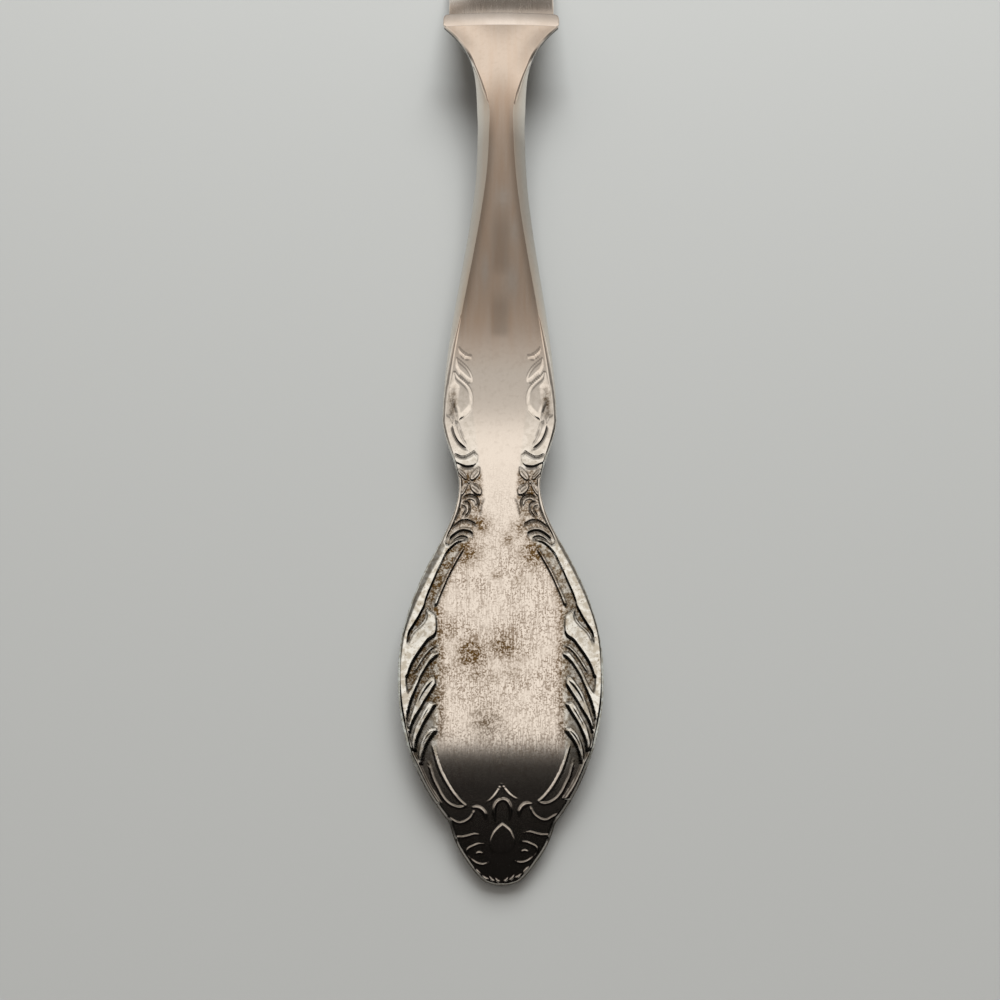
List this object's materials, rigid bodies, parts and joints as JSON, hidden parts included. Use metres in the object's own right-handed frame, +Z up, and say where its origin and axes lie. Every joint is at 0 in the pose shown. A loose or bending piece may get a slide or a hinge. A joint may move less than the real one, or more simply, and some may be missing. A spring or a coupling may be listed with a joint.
{
  "type": "butter knife",
  "caption": "Butter knife with a flat ornamented handle that flares to a straight collar, and a cranked, rounded flat blade for spreading.",
  "frame": {"origin": "on the table, under the middle of the knife's length and width as it lies face up", "axes": "+Y along the knife from the handle's tip to the blade's tip, +X across it towards the blade's spine, +Z up from the table"},
  "size_m": [0.022, 0.178, 0.0089],
  "materials": {
    "silver_plate": "satin",
    "blade_plate": "satin",
    "hard_solder": "satin",
    "nickel_silver": "satin"
  },
  "bodies": {
    "root": {"handle": "silver_plate", "collar": "silver_plate", "blade": "blade_plate", "tang_solder": "hard_solder", "rear_tang_pin": "nickel_silver", "front_tang_pin": "nickel_silver"}
  },
  "joints": []
}
